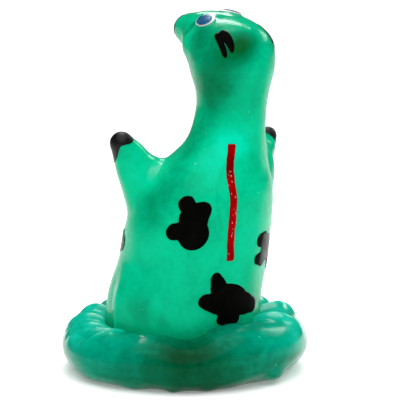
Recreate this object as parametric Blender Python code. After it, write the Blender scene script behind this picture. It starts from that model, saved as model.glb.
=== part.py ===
"""A novelty latex animal figure that stands on its own rolled rim.

The figure is one hollow dipped skin: torso, neck, head and two stub arms. Its open end is rolled
outward into a ring with a bead at its core, and the ring is the foot. Paint films lie on the outside.
The skin is cut into five segments along the lines where the soft rubber bends, and each cut is a
sphere about the bend's pivot, so that the segments can turn past each other.

The figure faces -Y, its left hand is at +X, and the origin is the middle of the ring's footprint.
"""

import math

import bmesh
import bpy
from mathutils import Matrix, Vector

MM = 0.001

# Driving dimensions, in millimetres.
WALL = 0.8
GAP = 0.3
PAINT = 0.35
FILM_CELL = 1.8
RIM_RADIUS = 20.1
ROLL_RADIUS = 5.9
FOOT_CUT = 0.15
HEAD_TURN = math.radians(12)

# How far the hollow is carried down past the open end, so that it cuts the end open.
HOLLOW_DROP = 2.0

# Facets round each form.
AROUND = 36
AROUND_INSIDE = 24
ARM_AROUND = 20
ROLL_AROUND = 48
HIDDEN_ROLL_AROUND = 32
TURN_STEPS = 14
BEAD_STEPS = 12
OUTLINE_STEPS = 36
CAP_AROUND = 18

# Stations along the figure's middle, from the open end to the snout: x, y, z, half depth, half width
# and lean. Lean is how far, in degrees, the section has tipped forward from level.
BODY = [
    (0.2, -0.2, 1.0, 13.4, 13.4, 0),
    (0.3, -0.2, 5.9, 13.4, 13.4, 0),
    (0.4, -0.2, 9.0, 14.4, 14.4, 0),
    (0.4, -0.1, 12.0, 16.2, 16.2, 0),
    (0.1, 0.3, 17.1, 16.2, 16.2, 0),
    (-0.9, 1.8, 24.3, 15.6, 15.6, 0),
    (-1.2, 3.3, 31.6, 15.2, 15.3, 0),
    (-1.7, 5.0, 38.5, 14.1, 14.2, 0),
    (-2.9, 6.8, 44.2, 11.0, 11.4, 0),
    (-4.2, 8.8, 49.4, 8.2, 8.4, 0),
    (-4.9, 9.6, 55.4, 7.3, 7.3, 0),
    (-5.1, 9.8, 59.4, 7.6, 7.6, 2),
    (-5.5, 9.4, 63.2, 8.8, 8.8, 12),
    (-5.7, 8.2, 66.2, 9.4, 9.4, 30),
    (-5.3, 5.4, 68.2, 8.4, 8.4, 54),
    (-4.5, 1.6, 69.8, 6.4, 6.4, 74),
    (-3.6, -1.8, 71.0, 4.2, 4.5, 84),
]
SNOUT_LENGTH = 4.4

# Stations along each arm: x, y, z and radius, from inside the torso to the hand.
LEFT_ARM = [
    (4.6, 0.6, 34.6, 9.0),
    (8.0, -0.7, 39.4, 6.9),
    (11.3, -1.2, 43.4, 4.9),
    (13.2, -1.2, 46.6, 3.4),
    (15.2, -0.8, 49.0, 2.4),
]
RIGHT_ARM = [
    (-9.6, 3.6, 37.0, 8.6),
    (-13.4, 2.2, 41.0, 6.8),
    (-17.0, 1.2, 44.4, 4.6),
    (-19.6, 0.8, 46.0, 3.1),
    (-21.0, 0.6, 47.8, 2.0),
]
HAND_LENGTH = 2.3

# Pivots of the bends: x, y, z and the radius of the spherical cut. The cut takes everything beyond the
# pivot that lies within a cylinder: an arm's is a little slimmer than its sphere, the body's takes all.
NECK_PIVOT = (-4.4, 9.0, 50.5, 9.3)
HEAD_PIVOT = (-5.1, 9.8, 60.5, 8.9)
LEFT_ARM_PIVOT = (11.4, -1.2, 43.6, 5.1)
RIGHT_ARM_PIVOT = (-17.0, 1.2, 44.0, 4.9)
ARM_CUT_SHARE = 0.93
ARM_CUT_LENGTH = 20
BODY_CUT_RADIUS = 30
BODY_CUT_LENGTH = 40

# Turns of the roll, from the outside in: outer and inner radius, where the slot between the turn's
# ends is, and how wide it is, in degrees.
OUTER_TURN = (ROLL_RADIUS, 4.7, 193.5, 38)
INNER_TURN = (4.4, 3.2, 60, 50)
BEAD_RADIUS = 2.9

# Where each mark lies on the body: place along it, and degrees round it.
LEFT_EYE_PLACE = (14.55, 138)
RIGHT_EYE_PLACE = (14.5, 199)
LEFT_EAR_PLACE = (13.15, 130)
RIGHT_EAR_PLACE = (13.2, 215)
UPPER_BACK_PLACE = (6.25, 128)
LOWER_BACK_PLACE = (4.05, 167)
RIGHT_SIDE_PLACE = (5.35, 203)
LEFT_SIDE_PLACE = (5.45, 52)

# The outline of a mark is circles run together: how far round and up from its place, and the radius.
EYE_WHITE = [(0.2, 1.2, 1.9), (0.1, -0.6, 1.7), (1.5, 0.3, 1.2)]
EYE_BLUE = [(0.1, 0.9, 1.4), (0.0, -0.4, 1.3)]
UPPER_BACK_SPOT = [(-2.1, 4.7, 1.8), (1.2, 3.2, 2.1), (-4.1, -1.4, 1.8), (0.2, -1.9, 3.2), (-0.1, 1.2, 2.6)]
LOWER_BACK_SPOT = [
    (-3.3, 4.2, 1.2),
    (-2.6, 2.3, 2.1),
    (2.6, 0.2, 3.1),
    (5.2, 0.1, 3.0),
    (7.2, 0.0, 2.5),
    (-5.9, 0.0, 1.3),
    (-1.0, 0.0, 2.9),
    (-0.6, -2.9, 2.3),
    (-1.4, -4.0, 1.8),
    (0.6, -4.0, 1.7),
]
RIGHT_SIDE_SPOT = [(-3.0, 2.0, 1.4), (-1.2, 2.3, 1.6), (-3.4, -1.8, 1.2), (-1.4, -2.0, 1.7), (0.8, 0.2, 2.8)]
LEFT_SIDE_SPOT = [(0.6, 0.0, 1.7), (-1.2, 1.2, 1.7), (-1.8, -0.8, 1.6)]

# An ear mark is two strokes that join at the top: round and up from its middle.
EAR_STROKES = [
    (-1.0, -0.9),
    (-1.0, -3.1),
    (-0.2, -3.3),
    (0.5, -0.2),
    (0.7, -2.6),
    (1.5, -2.6),
    (2.2, 0.2),
    (2.4, 1.9),
    (1.5, 2.7),
    (0.3, 3.0),
    (-0.4, 2.5),
]

# The back stripe's middle line: place along the body, and degrees round it.
BACK_STRIPE = [(5.2, 161), (6.0, 158), (7.0, 155), (8.0, 148), (9.0, 142)]
STRIPE_WIDTH = 1.8

LATEX_GREEN = (0.0, 0.50, 0.30, 1.0)
PAINT_BLACK = (0.012, 0.012, 0.012, 1.0)
PAINT_RED = (0.50, 0.0, 0.005, 1.0)
PAINT_WHITE = (0.85, 0.87, 0.87, 1.0)
PAINT_BLUE = (0.03, 0.11, 0.38, 1.0)


def clear_scene():
    for thing in list(bpy.data.objects):
        bpy.data.objects.remove(thing)


def material(name, color, roughness):
    made = bpy.data.materials.new(name)
    made.use_nodes = True
    shader = made.node_tree.nodes["Principled BSDF"]
    shader.inputs["Base Color"].default_value = color
    shader.inputs["Roughness"].default_value = roughness
    shader.inputs["Metallic"].default_value = 0.0
    return made


def catmull_rom(points, t):
    """The point at t on a smooth curve through the points, where t counts points."""
    last = len(points) - 1
    first = min(int(t), last - 1)
    u = t - first
    here, there = points[first], points[first + 1]
    before = points[first - 1] if first > 0 else tuple(2 * a - b for a, b in zip(here, there))
    after = points[first + 2] if first + 2 <= last else tuple(2 * b - a for a, b in zip(here, there))
    blended = []
    for p0, p1, p2, p3 in zip(before, here, there, after):
        slope_in = (p2 - p0) / 2
        slope_out = (p3 - p1) / 2
        rise = p2 - p1
        square = 3 * rise - 2 * slope_in - slope_out
        cube = slope_in + slope_out - 2 * rise
        blended.append(p1 + slope_in * u + square * u**2 + cube * u**3)
    return blended


class Sweep:
    """A round form along a curve through stations, ending in a rounded tip of the given length."""

    def __init__(self, stations, side, tip_length):
        self.stations = stations
        self.side = side
        self.tip_length = tip_length
        self.last = len(stations) - 1

    def along(self, t):
        """The direction a section at t faces."""
        if len(self.stations[0]) == 6:
            lean = math.radians(catmull_rom(self.stations, t)[5])
            front = self.side.cross(Vector((0, 0, 1)))
            return Vector((0, 0, math.cos(lean))) + front * math.sin(lean)
        ahead = Vector(catmull_rom(self.stations, min(t + 0.05, self.last))[:3])
        behind = Vector(catmull_rom(self.stations, max(t - 0.05, 0))[:3])
        return (ahead - behind).normalized()

    def frame(self, t, inset):
        """Centre, the directions forward and sideways, and the half depth and half width at t."""
        on_curve = min(t, self.last)
        station = catmull_rom(self.stations, on_curve)
        along = self.along(on_curve)
        forward = self.side.cross(along).normalized()
        centre = Vector(station[:3])
        deep = station[3] - inset
        wide = station[min(4, len(station) - 1)] - inset
        if t > self.last:
            turn = (t - self.last) * math.pi / 2
            centre += along * (self.tip_length - inset) * math.sin(turn)
            deep, wide = deep * math.cos(turn), wide * math.cos(turn)
        return centre, forward, along.cross(forward).normalized(), deep, wide

    def point(self, t, angle, lift=0.0):
        """The skin's point at t and angle, lifted off it. Angle 0 is the front, 90 degrees the left."""
        centre, forward, sideways, deep, wide = self.frame(t, -lift)
        return centre + forward * deep * math.cos(angle) + sideways * wide * math.sin(angle)

    def rings(self, around, steps, inset):
        """Rings of points from the open end to just short of the tip, then the tip itself."""
        stops = [k / steps for k in range(self.last * steps + 1)]
        stops += [self.last + k / 4 for k in range(1, 4)]
        turns = [2 * math.pi * k / around for k in range(around)]
        rings = [[self.point(t, angle, -inset) for angle in turns] for t in stops]
        return rings, self.point(self.last + 1, 0, -inset)


def new_object(name, mesh_builder, surface=None):
    """An object from a closed bmesh in millimetres, facing out and smooth except at sharp edges."""
    bmesh.ops.recalc_face_normals(mesh_builder, faces=mesh_builder.faces[:])
    if mesh_builder.calc_volume(signed=True) < 0:
        bmesh.ops.reverse_faces(mesh_builder, faces=mesh_builder.faces[:])
    bmesh.ops.scale(mesh_builder, vec=Vector((MM, MM, MM)), verts=mesh_builder.verts)
    mesh = bpy.data.meshes.new(name)
    mesh_builder.to_mesh(mesh)
    mesh_builder.free()
    mesh.shade_smooth()
    mesh.set_sharp_from_angle(angle=math.radians(40))
    if surface:
        mesh.materials.append(surface)
    made = bpy.data.objects.new(name, mesh)
    bpy.context.scene.collection.objects.link(made)
    return made


def join_loops(shape, loops):
    """Quads between closed loops of equal count."""
    for lower, upper in zip(loops, loops[1:]):
        count = len(lower)
        for k in range(count):
            shape.faces.new((lower[k], lower[(k + 1) % count], upper[(k + 1) % count], upper[k]))


def sweep_solid(name, sweep, around, steps, inset, drop):
    """The sweep as a closed solid. Drop lengthens it straight down below its open end."""
    rings, tip = sweep.rings(around, steps, inset)
    if drop:
        rings.insert(0, [p - Vector((0, 0, drop)) for p in rings[0]])
    shape = bmesh.new()
    loops = [[shape.verts.new(p) for p in ring] for ring in rings]
    join_loops(shape, loops)
    shape.faces.new(list(reversed(loops[0])))
    top = shape.verts.new(tip)
    for k in range(around):
        shape.faces.new((loops[-1][k], loops[-1][(k + 1) % around], top))
    return new_object(name, shape)


def boolean(target, other, operation):
    """Applies a Boolean to the target and keeps the other object."""
    modifier = target.modifiers.new(operation.lower(), "BOOLEAN")
    modifier.operation = operation
    modifier.object = other
    modifier.solver = "EXACT"
    graph = bpy.context.evaluated_depsgraph_get()
    mesh = bpy.data.meshes.new_from_object(target.evaluated_get(graph))
    target.modifiers.clear()
    target.data = mesh
    return target


def discard(*helpers):
    for helper in helpers:
        bpy.data.objects.remove(helper)


def duplicate(thing, name):
    made = bpy.data.objects.new(name, thing.data.copy())
    bpy.context.scene.collection.objects.link(made)
    return made


def ball(name, centre, radius):
    shape = bmesh.new()
    placed = Matrix.Translation(centre)
    bmesh.ops.create_uvsphere(shape, u_segments=48, v_segments=24, radius=radius, matrix=placed)
    return new_object(name, shape)


def zone(name, pivot, direction, radius, length):
    """A cylinder that starts at the pivot and runs along the direction."""
    turned = direction.to_track_quat("Z", "Y").to_matrix().to_4x4()
    placed = Matrix.Translation(pivot + direction * length / 2) @ turned
    shape = bmesh.new()
    bmesh.ops.create_cone(
        shape, cap_ends=True, segments=32, radius1=radius, radius2=radius, depth=length, matrix=placed
    )
    return new_object(name, shape)


def split_at_bend(skin, name, pivot, direction, radius, length):
    """Cuts the skin beyond a bend off as a new object. Both ends are spheres about the pivot."""
    centre, cut_radius = Vector(pivot[:3]), pivot[3]
    beyond = zone("beyond", centre, direction, radius, length)
    outer_ball = ball("outer_ball", centre, cut_radius)
    inner_ball = ball("inner_ball", centre, cut_radius - GAP)
    child = boolean(boolean(duplicate(skin, name), beyond, "INTERSECT"), outer_ball, "DIFFERENCE")
    boolean(beyond, inner_ball, "DIFFERENCE")
    boolean(skin, beyond, "DIFFERENCE")
    discard(beyond, outer_ball, inner_ball)
    return child


def arm_direction(stations):
    return (Vector(stations[-1][:3]) - Vector(stations[2][:3])).normalized()


def build_skin(body, left_arm, right_arm, latex):
    """The hollow skin with its arms, cut into its five segments."""
    solids = {}
    for label, around, steps, inset, drop in (
        ("outer", AROUND, 2, 0.0, 0.0),
        ("inner", AROUND_INSIDE, 1, WALL, HOLLOW_DROP),
    ):
        solid = sweep_solid(label, body, around, steps, inset, drop)
        for arm in (left_arm, right_arm):
            limb = sweep_solid("limb", arm, ARM_AROUND, 1, inset, 0.0)
            boolean(solid, limb, "UNION")
            discard(limb)
        solids[label] = solid
    torso = boolean(solids["outer"], solids["inner"], "DIFFERENCE")
    discard(solids["inner"])
    torso.name = "torso_skin"

    arms = []
    for name, pivot, stations in (
        ("left_arm_skin", LEFT_ARM_PIVOT, LEFT_ARM),
        ("right_arm_skin", RIGHT_ARM_PIVOT, RIGHT_ARM),
    ):
        cut_radius = ARM_CUT_SHARE * pivot[3]
        arm = split_at_bend(torso, name, pivot, arm_direction(stations), cut_radius, ARM_CUT_LENGTH)
        arms.append(arm)
    up = Vector((0, 0, 1))
    neck = split_at_bend(torso, "neck_skin", NECK_PIVOT, up, BODY_CUT_RADIUS, BODY_CUT_LENGTH)
    head = split_at_bend(neck, "head_skin", HEAD_PIVOT, up, BODY_CUT_RADIUS, BODY_CUT_LENGTH)
    for segment in (torso, neck, head, *arms):
        segment.data.materials.clear()
        segment.data.materials.append(latex)


def rim_turn(name, around, outer, inner, slot_at, slot_width, surface):
    """One turn of the rolled rim: a split tube bent into a ring, flat where it rests."""
    start = math.radians(slot_at + slot_width / 2)
    sweep_angle = math.radians(360 - slot_width)
    angles = [start + sweep_angle * k / TURN_STEPS for k in range(TURN_STEPS + 1)]
    section = [(outer, a) for a in angles] + [(inner, a) for a in reversed(angles)]
    roll_ring(name, around, section, surface)


def roll_ring(name, around, section, surface):
    """A ring whose section is given as radii and angles about the middle of the roll."""
    height = ROLL_RADIUS - FOOT_CUT
    flat_section = []
    for radius, angle in reversed(section):
        level = max(height + radius * math.sin(angle), 0)
        flat_section.append((RIM_RADIUS + radius * math.cos(angle), level))
    shape = bmesh.new()
    loops = []
    for k in range(around):
        turn = 2 * math.pi * k / around
        x, y = math.cos(turn), math.sin(turn)
        loops.append([shape.verts.new((r * x, r * y, level)) for r, level in flat_section])
    join_loops(shape, loops + loops[:1])
    new_object(name, shape, surface)


def run_together(circles):
    """The outline of overlapping circles, as seen from their middle."""
    outline = []
    for k in range(OUTLINE_STEPS):
        turn = 2 * math.pi * k / OUTLINE_STEPS
        ray = Vector((math.cos(turn), math.sin(turn)))
        reach = 0.0
        for u, v, radius in circles:
            along = ray.x * u + ray.y * v
            miss = abs(ray.x * v - ray.y * u)
            if miss < radius:
                reach = max(reach, along + math.sqrt(radius**2 - miss**2))
        outline.append((ray.x * reach, ray.y * reach))
    return outline


def film(name, sweep, place, outline, surface, lift=GAP):
    """A paint film on the sweep at the place (t, degrees), with its outline in millimetres round and up."""
    middle, degrees = place
    around = math.radians(degrees)
    up_scale = (sweep.point(middle + 0.1, around) - sweep.point(middle - 0.1, around)).length / 0.2
    flat = bmesh.new()
    flat.faces.new([flat.verts.new((u, v, 0)) for u, v in outline])
    for normal in (Vector((1, 0, 0)), Vector((0, 1, 0))):
        for k in range(-6, 7):
            everything = flat.verts[:] + flat.edges[:] + flat.faces[:]
            bmesh.ops.bisect_plane(
                flat, geom=everything, dist=0.01, plane_co=normal * k * FILM_CELL, plane_no=normal
            )
    shape = bmesh.new()

    def sheet(height):
        corners = {}
        for vertex in flat.verts:
            t = middle + vertex.co.y / up_scale
            wide = sweep.frame(t, 0)[4]
            corners[vertex] = shape.verts.new(sweep.point(t, around + vertex.co.x / wide, height))
        return corners

    low, high = sheet(lift), sheet(lift + PAINT)
    for face in flat.faces:
        shape.faces.new([high[v] for v in face.verts])
        shape.faces.new([low[v] for v in reversed(face.verts)])
    for edge in flat.edges:
        if edge.is_boundary:
            loop = edge.link_loops[0]
            a, b = loop.vert, loop.link_loop_next.vert
            shape.faces.new((low[a], low[b], high[b], high[a]))
    flat.free()
    new_object(name, shape, surface)


def ribbon(name, sweep, line, width, surface):
    """A painted line on the sweep through places (t, degrees)."""
    shape = bmesh.new()
    loops = []
    for k in range(4 * (len(line) - 1) + 1):
        t, degrees = catmull_rom(line, k / 4)
        around = math.radians(degrees)
        half = width / 2 / sweep.frame(t, 0)[4]
        corners = ((-half, GAP), (half, GAP), (half, GAP + PAINT), (-half, GAP + PAINT))
        loops.append([shape.verts.new(sweep.point(t, around + turn, height)) for turn, height in corners])
    join_loops(shape, loops)
    shape.faces.new(loops[0])
    shape.faces.new(loops[-1])
    new_object(name, shape, surface)


def tip_film(name, sweep, edge, reach, deepest, surface):
    """A film over the sweep's tip. Its edge lies near t = edge, and reaches further back at one angle."""
    shape = bmesh.new()

    def sheet(height):
        loops = []
        for share in (0, 0.25, 0.5, 0.75, 0.9):
            loop = []
            for k in range(CAP_AROUND):
                angle = 2 * math.pi * k / CAP_AROUND
                start = edge - reach * math.cos(angle - math.radians(deepest))
                t = start + (sweep.last + 1 - start) * share
                loop.append(shape.verts.new(sweep.point(t, angle, height)))
            loops.append(loop)
        tip = shape.verts.new(sweep.point(sweep.last + 1, 0, height))
        join_loops(shape, loops)
        for k in range(CAP_AROUND):
            shape.faces.new((loops[-1][k], loops[-1][(k + 1) % CAP_AROUND], tip))
        return loops[0]

    join_loops(shape, [sheet(GAP), sheet(GAP + PAINT)])
    new_object(name, shape, surface)


def main():
    clear_scene()
    latex = material("latex_green", LATEX_GREEN, 0.25)
    black = material("paint_black", PAINT_BLACK, 0.4)
    red = material("paint_red", PAINT_RED, 0.3)
    white = material("paint_white", PAINT_WHITE, 0.3)
    blue = material("paint_blue", PAINT_BLUE, 0.3)

    side = Vector((math.cos(HEAD_TURN), math.sin(HEAD_TURN), 0))
    front = Vector((0, -1, 0))
    body = Sweep(BODY, side, SNOUT_LENGTH)
    left_arm = Sweep(LEFT_ARM, front, HAND_LENGTH)
    right_arm = Sweep(RIGHT_ARM, front, HAND_LENGTH)
    build_skin(body, left_arm, right_arm, latex)

    rim_turn("rim_outer_turn", ROLL_AROUND, *OUTER_TURN, latex)
    rim_turn("rim_inner_turn", HIDDEN_ROLL_AROUND, *INNER_TURN, latex)
    bead_section = [(BEAD_RADIUS, 2 * math.pi * k / BEAD_STEPS) for k in range(BEAD_STEPS)]
    roll_ring("rim_bead", HIDDEN_ROLL_AROUND, bead_section, latex)

    tip_film("left_hand_paint", left_arm, 3.7, 0.25, 180, black)
    tip_film("right_hand_paint", right_arm, 3.85, 0.15, 0, black)
    tip_film("nose_paint", body, 16.65, 0.25, 156, black)
    for label, eye, ear, mirror in (
        ("left", LEFT_EYE_PLACE, LEFT_EAR_PLACE, 1),
        ("right", RIGHT_EYE_PLACE, RIGHT_EAR_PLACE, -1),
    ):
        white_outline = [(mirror * u, v, r) for u, v, r in EYE_WHITE]
        blue_outline = [(mirror * u, v, r) for u, v, r in EYE_BLUE]
        film(f"{label}_eye_white", body, eye, run_together(white_outline), white)
        film(f"{label}_eye_blue", body, eye, run_together(blue_outline), blue, 2 * GAP + PAINT)
        film(f"{label}_ear_paint", body, ear, [(mirror * u, v) for u, v in EAR_STROKES], black)
    ribbon("back_stripe_paint", body, BACK_STRIPE, STRIPE_WIDTH, red)
    film("upper_back_spot", body, UPPER_BACK_PLACE, run_together(UPPER_BACK_SPOT), black)
    film("lower_back_spot", body, LOWER_BACK_PLACE, run_together(LOWER_BACK_SPOT), black)
    film("right_side_spot", body, RIGHT_SIDE_PLACE, run_together(RIGHT_SIDE_SPOT), black)
    film("left_side_spot", body, LEFT_SIDE_PLACE, run_together(LEFT_SIDE_SPOT), black)


main()
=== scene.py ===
"""The looks of a soft latex animal figure that stands on its own rolled rim.

One fine skin replaces the five hard segments of the model, cut into four pieces. The rolled rim is one
pleated roll. Paint marks are thin films laid on the skin. Lengths are in millimetres until a mesh is made,
and angles are in degrees until they are used. A place (t, degrees) on the body counts t in stations up it.
"""

import math

import bmesh
import bpy
import numpy as np
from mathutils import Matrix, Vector, noise
from mathutils.bvhtree import BVHTree

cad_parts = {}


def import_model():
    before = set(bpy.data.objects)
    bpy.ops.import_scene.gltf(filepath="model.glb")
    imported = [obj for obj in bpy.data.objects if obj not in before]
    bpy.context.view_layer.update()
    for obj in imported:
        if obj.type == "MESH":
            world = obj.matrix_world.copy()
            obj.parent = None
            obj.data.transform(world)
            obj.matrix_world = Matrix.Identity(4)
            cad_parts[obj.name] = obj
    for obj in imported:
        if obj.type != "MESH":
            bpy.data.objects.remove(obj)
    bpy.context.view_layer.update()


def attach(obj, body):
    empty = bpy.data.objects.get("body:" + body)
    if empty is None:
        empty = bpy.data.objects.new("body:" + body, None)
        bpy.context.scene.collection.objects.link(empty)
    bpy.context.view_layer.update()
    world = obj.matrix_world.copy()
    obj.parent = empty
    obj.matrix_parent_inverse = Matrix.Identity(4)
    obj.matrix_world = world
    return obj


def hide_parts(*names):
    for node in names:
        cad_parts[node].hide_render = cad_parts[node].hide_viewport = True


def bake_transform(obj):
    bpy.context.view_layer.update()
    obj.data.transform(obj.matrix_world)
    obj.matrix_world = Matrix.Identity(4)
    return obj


MM = 0.001

# Camera: round the figure, above the horizon, how far off, and what it aims at.
CAMERA_AZIMUTH = 145
CAMERA_PITCH = 9
CAMERA_DISTANCE = 420
CAMERA_LENS = 180
AIM_RIGHT = 3.2
AIM_HEIGHT = 35.9

# The body's stations: x, y, z, half depth, half width and forward lean in degrees.
HEAD_TURN = math.radians(12)
BODY = [
    (0.2, -0.2, 1.0, 13.4, 13.4, 0),
    (0.3, -0.2, 5.9, 13.9, 13.9, 0),
    (0.4, -0.2, 8.8, 15.9, 15.9, 0),
    (0.4, -0.1, 12.0, 16.3, 16.3, 0),
    (0.1, 0.3, 17.1, 16.2, 16.2, 0),
    (-0.9, 1.8, 24.3, 15.6, 15.6, 0),
    (-1.2, 3.3, 31.6, 15.2, 15.3, 0),
    (-1.7, 5.0, 38.5, 14.1, 14.2, 0),
    (-2.9, 6.8, 44.2, 11.0, 11.4, 0),
    (-4.2, 8.8, 49.4, 8.2, 8.4, 0),
    (-4.9, 9.6, 55.4, 7.3, 7.3, 0),
    (-5.1, 9.8, 59.4, 7.6, 7.6, 2),
    (-5.5, 9.4, 63.2, 8.8, 8.8, 12),
    (-5.7, 8.2, 66.2, 9.4, 9.4, 30),
    (-5.3, 5.4, 67.9, 8.3, 8.4, 54),
    (-4.5, 1.6, 69.7, 6.1, 6.3, 74),
    (-3.6, -1.8, 71.0, 3.9, 4.4, 84),
]
SNOUT_LENGTH = 4.4
LEFT_ARM = [
    (4.4, 0.6, 34.4, 8.9),
    (7.7, -0.7, 39.1, 6.8),
    (11.2, -1.2, 43.4, 4.5),
    (13.2, -1.2, 46.6, 3.4),
    (15.2, -0.8, 49.0, 2.4),
]
RIGHT_ARM = [
    (-10.0, 3.6, 37.0, 8.6),
    (-13.9, 2.2, 41.0, 6.8),
    (-17.2, 1.2, 44.4, 4.8),
    (-19.6, 0.8, 46.0, 3.1),
    (-21.0, 0.6, 47.8, 2.0),
]
HAND_LENGTH = 2.3

# Where the skin bends: a start point and an end point.
NECK_BEND = ((-4.3, 8.9, 50.2), (-4.9, 9.6, 55.0))
NECK_TO_HEAD_Z = 55.8
HEAD_BEND = ((-4.9, 9.6, 56.6), (-5.2, 9.7, 64.0))
LEFT_ARM_BEND = ((10.2, -1.3, 41.9), (12.6, -1.2, 45.3))
RIGHT_ARM_BEND = ((-15.6, 1.5, 42.8), (-18.4, 0.9, 45.2))
ARM_PIECE_RADIUS = 7.5

# Where the body's open lower end is cut off, inside the roll.
OPEN_END_Z = 1.3

# How many points go round the body and an arm, and how many steps lie between stations and along a tip.
BODY_AROUND = 96
ARM_AROUND = 48
STEPS = 6
TIP_STEPS = 8
# How fine the mesh is that runs body and arms together.
VOXEL = 0.4

# The rolled rim. Angles count round it from the middle of the near side, RIM_NEAR degrees from +X.
RIM_RADIUS = 20.1
RIM_HALF_WIDTH = 5.9
RIM_NEAR = 55
# How high the top of the roll lies at each angle.
RIM_TOP = [
    (-180, 11.6), (-120, 11.3), (-85, 10.8), (-71, 10.4), (-59, 9.8), (-43, 10.8), (-25, 11.6), (-10, 11.5),
    (-1, 10.6), (9, 10.8), (18, 13.0), (32, 13.6), (48, 13.0), (63, 12.4), (90, 11.6), (180, 11.6),
]  # fmt: skip
# Pleats where the roll is gathered against the body: the angle beside the body, the angle at the roll's
# outside, half the width in degrees, and the height.
PLEATS = [
    (-47, -56, 1.8, 1.0), (-51, -72, 1.8, 1.3), (-65, -80, 1.9, 1.0), (-75, -87, 1.5, 0.7),
    (-85, -94, 2.2, 1.2), (-99, -104, 1.5, 0.7), (-112, -113, 2.6, 1.2), (-131, -130, 2.8, 1.0),
    (-148, -145, 2.0, 0.8), (-163, -160, 3.0, 1.1), (179, 179, 2.0, 0.8), (165, 167, 2.8, 1.1),
    (149, 153, 2.4, 1.0), (129, 131, 2.6, 1.5), (104, 110, 2.6, 1.9), (62, 76, 3.0, 1.7),
]  # fmt: skip
# Lumps and dents on the roll: degrees round, degrees about the roll (-90 is the bottom), half the width each
# way, and the height.
LUMPS = [
    (-50, -45, 16, 26, 0.6), (-27, -66, 7, 15, 0.4), (-6, -68, 4, 13, 0.4), (12, -66, 5, 14, 0.35),
    (50, -44, 6, 16, 0.9), (38, -62, 10, 20, -0.5), (70, -45, 10, 22, -0.7), (-23, 72, 6, 12, 0.4),
]  # fmt: skip
# A pleat ends at PLEAT_REACH half widths, and between pleats the roll sinks in by PLEAT_SINK.
PLEAT_REACH = 4
PLEAT_SINK = 0.25
# How many points go round the rim and across its section.
RIM_AROUND = 720
RIM_ACROSS = 100
# The roll's section starts inside, below, and runs round its outside: the first angle about it, and how far.
RIM_FIRST = -150
RIM_TURN = 350
# How high its lowest line lies, and how uneven it is.
RIM_BOTTOM = 0.15
RIM_UNEVENNESS = 0.22
# The body's axis where it passes through the roll, and the gap kept between the two.
ROLLED_ROUND = (0.4, -0.2)
RIM_GAP = 0.12

# The places of the eyes and ears on the body, left then right: t and degrees.
EYES = [(14.55, 138), (14.5, 199)]
EARS = [(13.15, 130), (13.2, 215)]

# Marks: the outline is circles run together. Each is so far round and so far up from the mark's place, and
# has a radius.
EYE_WHITE = [(0.3, 1.0, 1.7), (0.2, -0.5, 1.7), (0.7, 0.3, 1.65)]
EYE_BLUE = [(0.1, 0.6, 1.3), (0.0, -0.5, 1.3)]
EYE_BULGE = 0.35
UPPER_BACK_PLACE = (6.25, 128)
UPPER_BACK_SPOT = [
    (-2.4, 4.8, 1.7), (1.0, 3.1, 2.1), (-3.7, -1.4, 1.8), (0.5, -2.1, 3.1), (0.1, 1.2, 2.7),
    (-1.2, 1.8, 2.0),
]  # fmt: skip
LOWER_BACK_PLACE = (4.05, 167)
LOWER_BACK_SPOT = [
    (-4.2, 4.4, 1.0), (-3.3, 2.9, 1.6), (-5.5, 0.1, 1.45), (-4.4, -0.8, 1.3), (-2.8, -1.5, 1.5),
    (-0.9, 0.2, 2.9), (0.7, 0.0, 2.75), (2.2, -0.9, 2.9), (4.7, -1.8, 2.55), (7.1, -2.4, 1.9),
    (0.1, -3.0, 2.5), (-1.2, -5.0, 1.4), (1.5, -5.1, 1.6),
]  # fmt: skip
RIGHT_SIDE_PLACE = (5.35, 203)
RIGHT_SIDE_SPOT = [
    (-2.9, 2.2, 1.5), (-1.2, 2.3, 1.6), (-3.4, -1.8, 1.2), (-1.4, -2.0, 1.7), (0.8, 0.2, 2.8),
    (4.8, -3.2, 2.2),
]  # fmt: skip
LEFT_SIDE_PLACE = (5.45, 52)
LEFT_SIDE_SPOT = [(0.6, 0.0, 1.7), (-1.2, 1.2, 1.7), (-1.8, -0.8, 1.6)]
EAR_STROKES = [
    (-1.3, -0.6), (-1.2, -3.2), (-0.1, -3.5), (0.1, 1.0), (0.45, -2.7), (1.4, -2.7),
    (2.1, 0.2), (2.1, 2.0), (1.5, 3.0), (0.7, 2.6), (0.0, 3.1), (-0.8, 2.4),
]  # fmt: skip
BACK_STRIPE = [(5.2, 161), (6.0, 159), (7.0, 157), (8.0, 149.5), (9.0, 142)]
STRIPE_WIDTH = 1.6
STRIPE_BULGE = 0.14
# The outline of circles run together is found at so many turns, out to so far and in steps of so much.
OUTLINE_TURNS = 160
OUTLINE_REACH = 11
OUTLINE_STEP = 0.03
# Films: how thick they are, and how far off the skin a film and the film on top of it lie.
FILM_THICKNESS = 0.06
FILM_LIFT = 0.05
IRIS_LIFT = 0.2
# A film is cut into squares of this size, so many each way from its middle, to lie on the round skin.
FILM_SQUARE = 0.5
FILM_SQUARES = 20
# Paint over the tips of snout and arms: where its edge lies along t, how much further back it reaches, how
# far it is scooped out on both sides of that, and the angle at which it reaches furthest.
NOSE_TIP = (16.65, 0.25, 0.0, 156)
LEFT_HAND_TIP = (3.75, 0.5, 0.4, 135)
RIGHT_HAND_TIP = (3.7, 0.3, 0.0, 60)
# The crease behind the muzzle, on the left side: t and degrees. The head's middle line lies at HEAD_MIDDLE.
HEAD_MIDDLE = 156
MOUTH = [(15.05, 124), (15.2, 109), (15.4, 100)]
MOUTH_DEPTH = 0.35
MOUTH_HALF_WIDTH = 0.45
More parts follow.
